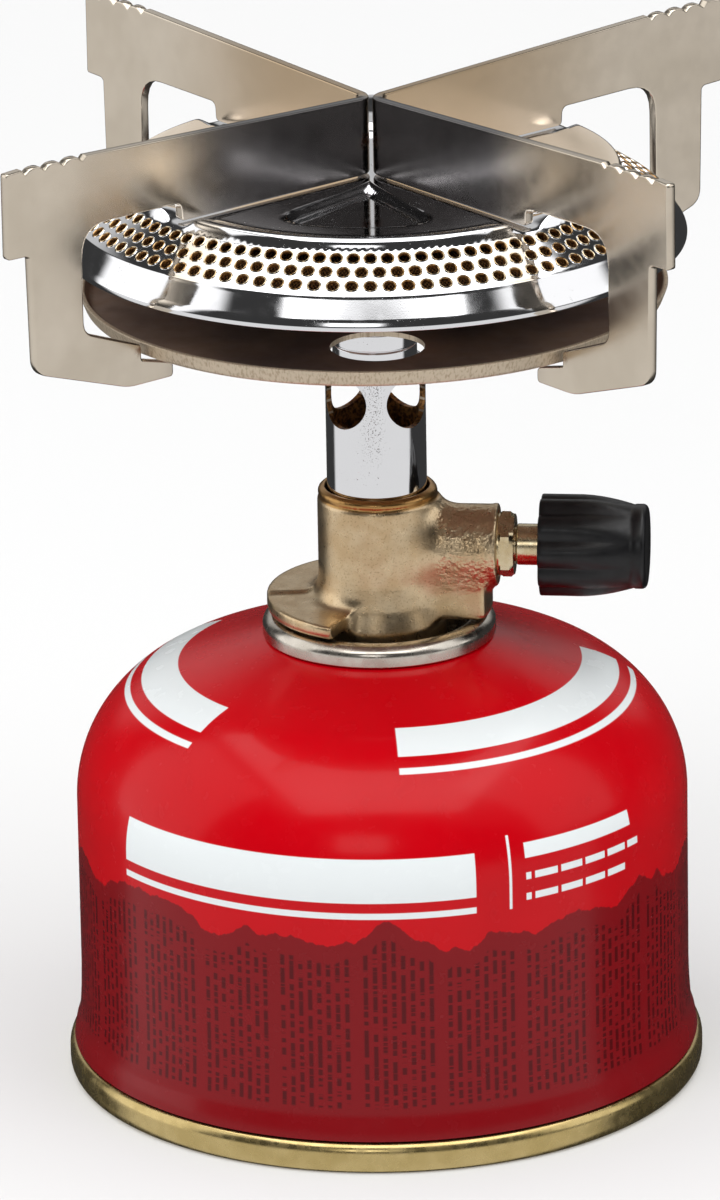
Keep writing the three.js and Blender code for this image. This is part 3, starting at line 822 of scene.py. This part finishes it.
def build_spindle():
    corner = NUT_FLATS / math.sqrt(3)
    nut = [(2.75, 13.6), (4.4, 13.6), (4.4, NUT_START - 0.01), (4.5, NUT_START), (corner, NUT_START + 0.25),
           (corner, NUT_END - 0.55), (4.25, NUT_END), (2.95, NUT_END), (2.75, NUT_END - 0.2)]
    shape = turned(nut, 192, hexagonal(NUT_FLATS, NUT_START, NUT_END))
    make("gland_nut", along_spindle(shape), TURNED_BRASS, sharp=20)

    spindle = [(0, 1.3, 0), (1, 2.4), (1, 5.8), (2.4, 5.8), (2.4, 10.2), (1.8, 10.2), (1.8, 12.4),
               (2.4, 12.4), (2.4, NUT_END + GAP), (2.9, NUT_END + GAP, 0.25), (2.9, KNOB_START + GAP, 0.1),
               (2.3, KNOB_START + GAP), (2.3, 34.4), (0, 34.4)]
    make("spindle", along_spindle(turned(eased(spindle, 0.1), 96)), TURNED_BRASS)
    make("spindle_seal", along_spindle(turned(arc(2.75, 11.3, 0.65, 0, 345, 23), 96)), RUBBER)

    # The grip's ridges are scallops that die out before its rounded end.
    def scallop(angles, radius, height):
        if radius < 5.5:
            return np.full(len(angles), radius)
        fade = 1 - np.clip((height - 24) / 11.5, 0, 1) ** 2
        crest = np.sqrt(np.sin(KNOB_LOBES / 2 * angles + 0.5) ** 2 + 0.004)
        return radius - 0.8 * fade * np.clip(1 - crest, 0, 1)

    taper_start, taper_end = 28.5, KNOB_END - 1.9
    side = [(KNOB_R, z) for z in np.linspace(KNOB_START + 0.3, taper_start, 12)]
    for z in np.linspace(taper_start, taper_end, 16)[1:]:
        share = (z - taper_start) / (taper_end - taper_start)
        side.append((KNOB_R - (KNOB_R - KNOB_TIP_R + 0.1) * share ** 1.8, z))
    tip = [(KNOB_TIP_R, taper_end + 0.25), *arc(KNOB_TIP_R - 0.75, KNOB_END - 0.75, 0.75, 0, 90, 8),
           (4.9, KNOB_END), (4.5, KNOB_END - 0.12), (0, KNOB_END - 0.12)]
    hole = [(0, 34.7), (2.6, 34.7), (2.6, KNOB_START + 0.6), (3.2, KNOB_START + 0.6), (3.2, KNOB_START)]
    outline = [*hole, (KNOB_R - 0.3, KNOB_START), (KNOB_R - 0.08, KNOB_START + 0.08), *side, *tip]
    make("control_knob", along_spindle(turned(outline, 240, scallop)), KNOB_PLASTIC, sharp=50)


# ---- burner -------------------------------------------------------------------------

def rod(radius, start, end, azimuth, height, segments=72):
    """Round bar lying level along an azimuth in degrees."""
    points, faces = cylinder(radius, start, end, segments)
    a = math.radians(azimuth)
    out = np.stack([points[:, 2] * math.cos(a) - points[:, 1] * math.sin(a),
                    points[:, 2] * math.sin(a) + points[:, 1] * math.cos(a), height + points[:, 0]], 1)
    return out, faces


def build_tube():
    wall = [(TUBE_R - TUBE_WALL, TUBE_FOOT), (TUBE_R, TUBE_FOOT), (TUBE_R, TUBE_TOP - 0.1, 0.45),
            (TUBE_R - TUBE_WALL, TUBE_TOP, 0.1)]
    piece = raw_piece("burner_tube_fine", turned(eased(wall, 0.1), 256))
    holes = [rod(AIR_HOLE_R, 2, TUBE_R + 3, 45 + PATTERN_TURN + 90 * i, AIR_HOLE_Z) for i in range(4)]
    cut(piece, joined(*holes))
    finish_piece(piece, "burner_tube", CHROME, sharp=30)
    hole_wall = [p for p in piece.data.polygons
                 if abs(Vector((p.normal.x, p.normal.y)).dot(Vector(p.center.xy).normalized())) < 0.6
                 and p.center.z < (TUBE_TOP - 1) * MM and p.center.z > (TUBE_FOOT + 1) * MM]
    piece.data.materials.append(DRAWN_EDGE)
    piece.data.materials.append(PORT_BROWN)
    for polygon in hole_wall:
        polygon.material_index = 1
    for polygon in piece.data.polygons:
        centre = Vector(polygon.center.xy)
        if centre.length < (TUBE_R - TUBE_WALL / 2) * MM and Vector(polygon.normal.xy).dot(centre) < 0:
            polygon.material_index = 2
    set_round_normals(piece, 0.8)

    bore, collar, collar_foot = 4.9, 8.5, 111.4
    grooves = [(NECK_R - depth, z + rise, 0.1) for z in (106.8, 109.4)
               for rise, depth in ((-0.2, 0), (0, 0.18), (0.2, 0))]
    neck = [(bore, NECK_FOOT, 0.3), (NECK_R, NECK_FOOT, 0.3), *grooves, (NECK_R, collar_foot, 0.2),
            (collar, collar_foot, 0.5), (collar, TRAY_FLOOR - GAP, 0.5), (NECK_R, TRAY_FLOOR - GAP),
            (NECK_R, NECK_TOP, 0.3), (bore, NECK_TOP, 0.3)]
    make("mixing_neck", turned(eased(neck, 0.15), 192), CHROME)


def set_round_normals(piece, least):
    """Exact radial normals on the upright round faces of a piece, so that plating reflects cleanly."""
    mesh = piece.data
    normals = []
    for polygon in mesh.polygons:
        for loop in polygon.loop_indices:
            point = mesh.vertices[mesh.loops[loop].vertex_index].co
            radial = Vector((point.x, point.y, 0)).normalized()
            facing = polygon.normal.dot(radial)
            normals.append(radial * math.copysign(1, facing) if abs(facing) > least else polygon.normal)
    for modifier in list(piece.modifiers):
        piece.modifiers.remove(modifier)
    mesh.normals_split_custom_set(normals)


def build_tray():
    inside = TRAY_FLOOR + TRAY_SHEET
    floor_r = TRAY_R - 1.6
    pan = [(NECK_R + GAP, TRAY_FLOOR), (TRAY_R - 0.9, TRAY_FLOOR, 0.7), (TRAY_R, TRAY_RIM_TOP - 0.1, 0.2),
           (TRAY_R - 0.25, TRAY_RIM_TOP, 0.1), (TRAY_R - TRAY_SHEET, TRAY_RIM_TOP, 0.2),
           (floor_r, inside, 0.7), (NECK_R + GAP, inside)]
    piece = raw_piece("heat_shield_fine", turned(eased(pan, 0.1, 5), 256))
    vents = []
    for i in range(4):
        a = math.radians(PATTERN_TURN + 90 * i)
        points, faces = cylinder(VENT_R, TRAY_FLOOR - 1, inside + 1, 96)
        vents.append((points + VENT_CIRCLE_R * np.array([math.cos(a), math.sin(a), 0]), faces))
    cut(piece, joined(*vents))
    finish_piece(piece, "heat_shield", PAN_DARK)
    piece.data.materials.append(DRAWN_EDGE)
    for polygon in piece.data.polygons:
        out = polygon.normal.x * polygon.center.x + polygon.normal.y * polygon.center.y
        edge_r = math.hypot(polygon.center.x, polygon.center.y) / MM
        at_rim = edge_r > floor_r and (out > 0 or polygon.center.z > (TRAY_RIM_TOP - 0.15) * MM)
        at_vent = abs(polygon.normal.z) < 0.3 and edge_r < TRAY_R - 4
        if at_rim or at_vent:
            polygon.material_index = 1

    bowl = [(NECK_R + GAP, BOWL_FLOOR), (14, BOWL_FLOOR, 2), (42.3, 121.9, 0.2), (42.3, 122.5, 0.1),
            (14, BOWL_FLOOR + SHEET, 2), (NECK_R + GAP, BOWL_FLOOR + SHEET)]
    make("burner_bowl", turned(eased(bowl, 0.1, 6), 256), PAN_DARK)

    bottom = BOWL_FLOOR + SHEET + GAP
    top = bottom + 2.6
    corner = 18 / math.sqrt(3)
    nut = [(NECK_R + GAP, bottom), (corner - 0.7, bottom), (corner, bottom + 0.4), (corner, top - 0.4),
           (corner - 0.9, top), (NECK_R + GAP, top)]
    make("burner_nut", turned(nut, 192, hexagonal(18, bottom, top)), BRASS, sharp=20)

    gauze = [(40.1, 122.6), (40.6, 122.6), (40.6, 124.9, 1), (33.8, 129.6, 1), (30, 129.6), (30, 129.1),
             (33.6, 129.1, 1), (40.1, 124.6, 1)]
    make("flame_gauze", turned(eased(gauze, 0.1, 5), 256), GAUZE)


# ---- burner cap ---------------------------------------------------------------------

PORTS = 98
PORT_ROWS = 3
CELL_SIDE = 4                    # mesh steps along one side of a port's cell
BAND_TOP = np.array([34.9, 130.7])
BAND_FOOT = np.array([40.9, 126.7])
CAP_SHEET = 0.5
CREST_R = 34.0
RECESS_APEX = 3.9
RECESS_OUTER = 24.6
RECESS_HALF_ANGLE = 34
RECESS_DEPTH = 1.2
CREST_START = 28.5
CREST_RISE = 1.25


def sheet_between(rings):
    """Faces joining rings of points that have the same number of points each."""
    count = len(rings[0])
    faces = []
    for k in range(len(rings) - 1):
        for i in range(count):
            j = (i + 1) % count
            faces.append([k * count + i, k * count + j, (k + 1) * count + j, (k + 1) * count + i])
    return np.concatenate(rings), faces


def closed_sheet(rings, apex):
    """A sheet of rings, closed by a fan of faces about a point on the axis."""
    points, faces = sheet_between(rings)
    count = len(rings[0])
    last = len(points) - count
    faces += [[last + i, last + (i + 1) % count, len(points)] for i in range(count)]
    return np.concatenate([points, [(0, 0, apex)]]), faces


def smooth_step(share):
    """Eases a share between 0 and 1, and holds it beyond them."""
    share = np.clip(share, 0, 1)
    return share ** 2 * (3 - 2 * share)


def port_band():
    """Sloping band pierced by rows of ports with raised rims. Returns the shape and each face's part."""
    slope = BAND_FOOT - BAND_TOP
    length = np.linalg.norm(slope)
    slope /= length
    outward = np.array([-slope[1], slope[0]])
    row_height = length / PORT_ROWS
    pitch = 2 * math.pi / PORTS
    steps = np.arange(CELL_SIDE) / CELL_SIDE
    square = np.array([(0.5, -0.5 + s) for s in steps] + [(0.5 - s, 0.5) for s in steps]
                      + [(-0.5, 0.5 - s) for s in steps] + [(-0.5 + s, -0.5) for s in steps])
    around = np.arctan2(square[:, 1], square[:, 0])
    circle = np.stack([np.cos(around), np.sin(around)], 1)
    rings = [(None, 0.0), (1.04, 0.0), (0.97, 0.10), (0.86, 0.16), (0.76, 0.10), (0.73, -0.05),
             (0.72, -0.38), (0.78, -CAP_SHEET), (None, -CAP_SHEET)]
    parts = (0, 0, 1, 1, 2, 2, 2, 0)
    ports = []
    for row in range(PORT_ROWS):
        middle = (row + 0.5) * row_height
        middle_r = (BAND_TOP + slope * middle)[0]
        for column in range(PORTS):
            centre = (column + 0.5 * (row % 2)) * pitch
            port = []
            for reach, rise in rings:
                if reach is None:
                    aside, along = square[:, 0] * pitch, square[:, 1] * row_height
                else:
                    aside, along = circle[:, 0] * reach / middle_r, circle[:, 1] * reach
                angle = centre + aside
                r, z = (BAND_TOP[i] + slope[i] * (middle + along) + outward[i] * rise for i in (0, 1))
                port.append(np.stack([r * np.cos(angle), r * np.sin(angle), z], 1))
            ports.append(sheet_between(port))
    face_parts = [part for part in parts for _ in square] * len(ports)
    return *joined(*ports), face_parts


def crown_height(radius, angle):
    """Height of the cap's crown: four pressed recesses and a crest between the pot supports."""
    quadrant = (angle + math.pi / 4) % (math.pi / 2) - math.pi / 4
    along, across = radius * np.cos(quadrant), np.abs(radius * np.sin(quadrant))
    half = math.radians(RECESS_HALF_ANGLE)
    side = across * math.cos(half) - (along - RECESS_APEX) * math.sin(half)
    inside = -trimmed(5.0, side, radius - RECESS_OUTER)
    recess = RECESS_DEPTH * smooth_step(inside / 0.8)
    clear = smooth_step((math.pi / 4 - np.abs(quadrant)) * radius / 3.2 - 0.35)
    crest = CREST_RISE * smooth_step((radius - CREST_START) / (CREST_R - CREST_START)) * clear
    fall = np.clip((radius - CREST_R) / (BAND_TOP[0] - CREST_R), 0, 1)
    plain = CAP_TOP - recess + crest
    return plain * (1 - fall ** 2) + BAND_TOP[1] * fall ** 2


def build_cap():
    segments = PORTS * CELL_SIDE
    angles = (np.arange(segments) - CELL_SIDE / 2) * 2 * math.pi / segments
    band_points, band_faces, band_parts = port_band()

    def ring(r, z):
        z = z if isinstance(z, np.ndarray) else np.full(segments, z)
        return np.stack([r * np.cos(angles), r * np.sin(angles), z], 1)

    radii = np.concatenate([np.linspace(BAND_TOP[0], CREST_R - 0.6, 8), np.linspace(CREST_R - 1.2, 0.8, 62)])
    crown = closed_sheet([ring(r, crown_height(np.full(segments, r), angles)) for r in radii], CAP_TOP)

    inward = np.array([-0.277, -0.416])
    inner_foot = BAND_FOOT + inward
    inner_top = BAND_TOP + inward
    under_radii = np.linspace(inner_top[0], 1.5, 30)
    under_heights = [crown_height(np.full(segments, r), angles) - CAP_SHEET if r < CREST_R - 1
                     else inner_top[1] for r in under_radii]
    under = closed_sheet([ring(r, z) for r, z in zip(under_radii, under_heights)], CAP_TOP - CAP_SHEET)

    lip = eased([(*BAND_FOOT, 0), (41.4, 126.47, 0.12), (41.6, 126.1, 0.15),
                 (43.3, 123.4, 0.35), (CAP_LIP_R, 122.6, 0.35), (CAP_LIP_R - 0.1, CAP_LIP_Z, 0.2),
                 (CAP_LIP_R - 0.7, CAP_LIP_Z, 0.2), (42.7, 122.8, 0.5), (41.9, 124.1, 0.5),
                 (41.1, 125.6, 0.3), (*inner_foot, 0)], 0.2, 4)
    edge = sheet_between([ring(r, z) for r, z in lip])
    shape = joined((band_points, band_faces), crown, under, edge)
    cap = make("burner_cap", shape, CHROME, sharp=50, merge=0.02)
    cap.data.materials.append(PORT_RIM)
    cap.data.materials.append(PORT_BROWN)
    for polygon, part in zip(cap.data.polygons, band_parts):
        polygon.material_index = part


# ---- pot supports -------------------------------------------------------------------

TOOTH_START = 51.2
TOOTH_PITCH = 3.2
TOOTH_DEPTH = 0.7


def arm_outline():
    """Outline of one arm from the bend outwards: distance from the bend's corner against height."""
    bottom = eased([(0, ARM_FOOT, 0), (34.55, ARM_FOOT, 0.7), (34.7, 133.9, 1.0), (51.7, 134.1, 4.6),
                    (51.7, 119.0, 1.6), (42.1, 115.3, 0.3), (42.0, 113.1, 0.3), (36.6, 111.7, 0.6),
                    (36.6, 109.6, 0.7), (44.2, 109.6, 1.4), (60.1, 114.9, 1.9), (60.5, 131.5, 0.5),
                    (61.0, 131.8, 0.2), (ARM_REACH, 131.9, 0.5), (ARM_REACH, ARM_TIP_TOP, 0.7)], steps=6)
    valley_top = ARM_TIP_TOP - TOOTH_DEPTH
    last_tooth = TOOTH_START + TOOTH_PITCH * 3
    teeth = [(last_tooth + 0.7, ARM_TIP_TOP), (last_tooth + 0.15, valley_top)]
    for i in (2, 1, 0):
        for t in np.linspace(0, 1, 9)[1:]:
            s = TOOTH_START + TOOTH_PITCH * (i + 1 - t)
            bulge = 1 - abs(2 * t - 1) ** 2.6
            teeth.append((s, valley_top + TOOTH_DEPTH * bulge))
    teeth.append((TOOTH_START - 0.6, ARM_TIP_TOP - 0.1))
    return [*bottom[:-1], *teeth, (0, ARM_HUB_TOP)]


def bent_support(name, turn):
    """A plate drawn flat, with softened edges, then bent round the corner at its middle."""
    arm = np.array(arm_outline())
    outline = np.concatenate([arm, (arm[1:-1] * (-1, 1))[::-1]])
    keep = np.linalg.norm(outline - np.roll(outline, 1, 0), axis=1) > 0.01
    outline = outline[keep]
    ahead = np.roll(outline, -1, 0) - outline
    behind = outline - np.roll(outline, 1, 0)
    ahead /= np.linalg.norm(ahead, axis=1)[:, None]
    behind /= np.linalg.norm(behind, axis=1)[:, None]
    tangent = ahead + behind
    tangent /= np.linalg.norm(tangent, axis=1)[:, None]
    inward = np.stack([-tangent[:, 1], tangent[:, 0]], 1)

    soft = 0.3
    layers = [(soft, 0), (0.3 * soft, 0.3 * soft), (0, soft), (0, PLATE - soft),
              (0.3 * soft, PLATE - 0.3 * soft), (soft, PLATE)]
    count = len(outline)
    model = bmesh.new()
    rows = []
    for inset, depth in layers:
        line = outline + inward * inset
        rows.append([model.verts.new((s, depth, z)) for s, z in line])
    for first, second in zip(rows, rows[1:]):
        for i in range(count):
            j = (i + 1) % count
            model.faces.new([first[i], first[j], second[j], second[i]])
    model.faces.new(rows[0])
    model.faces.new(rows[-1][::-1])
    for s in np.linspace(-BEND_R, BEND_R, 17):
        everything = model.verts[:] + model.edges[:] + model.faces[:]
        bmesh.ops.bisect_plane(model, geom=everything, plane_co=(s, 0, 0), plane_no=(1, 0, 0), dist=1e-5)
    bmesh.ops.recalc_face_normals(model, faces=model.faces[:])

    bend_x = -BEND_GAP / 2 - BEND_R
    corner_x = bend_x + BEND_R * math.sqrt(2)
    along = math.sqrt(0.5)
    for vert in model.verts:
        s, depth, z = vert.co
        side = math.copysign(1, s)
        if abs(s) >= BEND_R:
            x = corner_x - along * abs(s) - along * depth
            y = side * along * (abs(s) - depth)
        else:
            angle = s / BEND_R * math.pi / 4
            x = bend_x + (BEND_R - depth) * math.cos(angle)
            y = (BEND_R - depth) * math.sin(angle)
        vert.co = Vector((x, y, z)) * MM
    if turn:
        bmesh.ops.rotate(model, verts=model.verts[:], cent=(0, 0, 0), matrix=Matrix.Rotation(math.pi, 3, "Z"))
    bmesh.ops.recalc_face_normals(model, faces=model.faces[:])
    mesh = bpy.data.meshes.new(name + "_fine")
    model.to_mesh(mesh)
    model.free()
    finish_piece(placed(name + "_fine", mesh), name, STAINLESS, sharp=35)


build_canister()
build_valve()
build_valve_body()
build_spindle()
build_tube()
build_tray()
build_cap()
bent_support("pot_support_left", False)
bent_support("pot_support_right", True)


# ---- studio -------------------------------------------------------------------------

VIEW_AZIMUTH = math.radians(6.24)
VIEW_ELEVATION = math.radians(19.45)
VIEW_ROLL = math.radians(-1.01)
VIEW_DISTANCE = 1.4
VIEW_HEIGHT = 0.08
VIEW_SHIFT = (-0.00266, -0.01079)
LENS = 300.17

LOW_BOX_AZIMUTH = -14

VIEW_BACK = Vector((math.sin(VIEW_AZIMUTH) * math.cos(VIEW_ELEVATION),
                    -math.cos(VIEW_AZIMUTH) * math.cos(VIEW_ELEVATION), math.sin(VIEW_ELEVATION)))
VIEW_RIGHT = Vector((math.cos(VIEW_AZIMUTH), math.sin(VIEW_AZIMUTH), 0))


def build_camera():
    up = VIEW_BACK.cross(VIEW_RIGHT)
    aim = Vector((0, 0, VIEW_HEIGHT)) + VIEW_RIGHT * VIEW_SHIFT[0] + up * VIEW_SHIFT[1]
    across = VIEW_RIGHT * math.cos(VIEW_ROLL) + up * math.sin(VIEW_ROLL)
    upright = up * math.cos(VIEW_ROLL) - VIEW_RIGHT * math.sin(VIEW_ROLL)
    data = bpy.data.cameras.new("camera")
    data.lens = LENS
    data.sensor_width = 36
    data.clip_start, data.clip_end = 0.05, 20
    camera = placed("camera", data)
    camera.matrix_world = Matrix.Translation(aim + VIEW_BACK * VIEW_DISTANCE) @ Matrix(
        (across, upright, VIEW_BACK)).transposed().to_4x4()
    bpy.context.scene.camera = camera


def build_world():
    """White backdrop for the camera; soft boxes with dark gaps between them for the metal to reflect."""
    world = bpy.data.worlds.new("studio")
    bpy.context.scene.world = world
    world.use_nodes = True
    tree = world.node_tree
    tree.nodes.clear()
    w = Nodes(tree, tree.nodes.new("ShaderNodeTexCoord").outputs["Generated"])
    front = Vector((math.sin(VIEW_AZIMUTH), -math.cos(VIEW_AZIMUTH), 0))

    def towards(direction):
        product = w.add("ShaderNodeVectorMath", w.place, tuple(direction), operation="DOT_PRODUCT")
        return product.outputs["Value"]

    def panel(azimuth, elevation, half_width, half_height, strength, soft=0.06):
        """Soft box seen in a direction: azimuth to the right of the front, sizes as tangents."""
        a, e = math.radians(azimuth), math.radians(elevation)
        flat = front * math.cos(a) + VIEW_RIGHT * math.sin(a)
        centre = flat * math.cos(e) + Vector((0, 0, math.sin(e)))
        side = Vector((0, 0, 1)).cross(flat)
        rise = centre.cross(side)
        depth = w.math("MAXIMUM", towards(centre), 1e-3)
        u = w.math("ABSOLUTE", w.math("DIVIDE", towards(side), depth))
        v = w.math("ABSOLUTE", w.math("DIVIDE", towards(rise), depth))
        return w.times(w.fade(u, half_width + soft, half_width - soft),
                       w.fade(v, half_height + soft, half_height - soft), strength)

    low_azimuth = math.radians(LOW_BOX_AZIMUTH)
    ahead = towards(front * math.cos(low_azimuth) + VIEW_RIGHT * math.sin(low_azimuth))
    height = towards((0, 0, 1))
    low_front = w.times(w.fade(ahead, -0.22, -0.06), w.fade(height, 0.05, -0.12), 0.95)
    panels = [
        panel(0, 84, 0.62, 0.75, 3.2),
        panel(-95, 25, 0.45, 0.55, 1.5),
        panel(80, 35, 0.35, 0.55, 1.4),
        panel(180, 24, 0.75, 0.22, 0.7, 0.15),
        panel(-8, 22, 0.16, 0.12, 3.0, 0.06),
    ]
    total = w.math("ADD", low_front, 0.05)
    for part in panels:
        total = w.math("ADD", total, part)
    lit = w.add("ShaderNodeBackground", None, total).outputs[0]
    backdrop = w.add("ShaderNodeBackground", (1, 1, 1, 1), 1.0).outputs[0]
    seen = w.add("ShaderNodeLightPath").outputs["Is Camera Ray"]
    mixed = w.add("ShaderNodeMixShader", seen, lit, backdrop).outputs[0]
    w.add("ShaderNodeOutputWorld", mixed)


def build_floor():
    mesh = bpy.data.meshes.new("floor")
    half = 3
    corners = [(-half, -half, 0), (half, -half, 0), (half, half, 0), (-half, half, 0)]
    mesh.from_pydata(corners, [], [(0, 1, 2, 3)])
    floor = placed("floor", mesh)
    f = Finish("pale_floor", 0.0, Specular_IOR_Level=0.0, Emission_Strength=0.16)
    f.shader.inputs["Emission Color"].default_value = (1, 1, 1, 1)
    mesh.materials.append(f.surface(tone("c6c6c6"), 0.9, f.bump(f.noise(3, 2), 0.01)))
    floor.visible_glossy = False


def build_light(name, azimuth, elevation, distance, size, power):
    data = bpy.data.lights.new(name, "AREA")
    data.shape = "DISK"
    data.size = size
    data.energy = power
    light = placed(name, data)
    a, e = math.radians(azimuth), math.radians(elevation)
    front = Vector((math.sin(VIEW_AZIMUTH), -math.cos(VIEW_AZIMUTH), 0))
    out = (front * math.cos(a) + VIEW_RIGHT * math.sin(a)) * math.cos(e) + Vector((0, 0, math.sin(e)))
    light.location = Vector((0, 0, 0.07)) + out * distance
    light.rotation_mode = "QUATERNION"
    light.rotation_quaternion = out.to_track_quat("Z", "Y")
    light.visible_glossy = False


build_camera()
build_world()
build_floor()
build_light("key", -35, 50, 1.4, 0.7, 5)
build_light("fill", 45, 40, 1.5, 0.8, 3)
bpy.context.scene.view_settings.view_transform = "Standard"
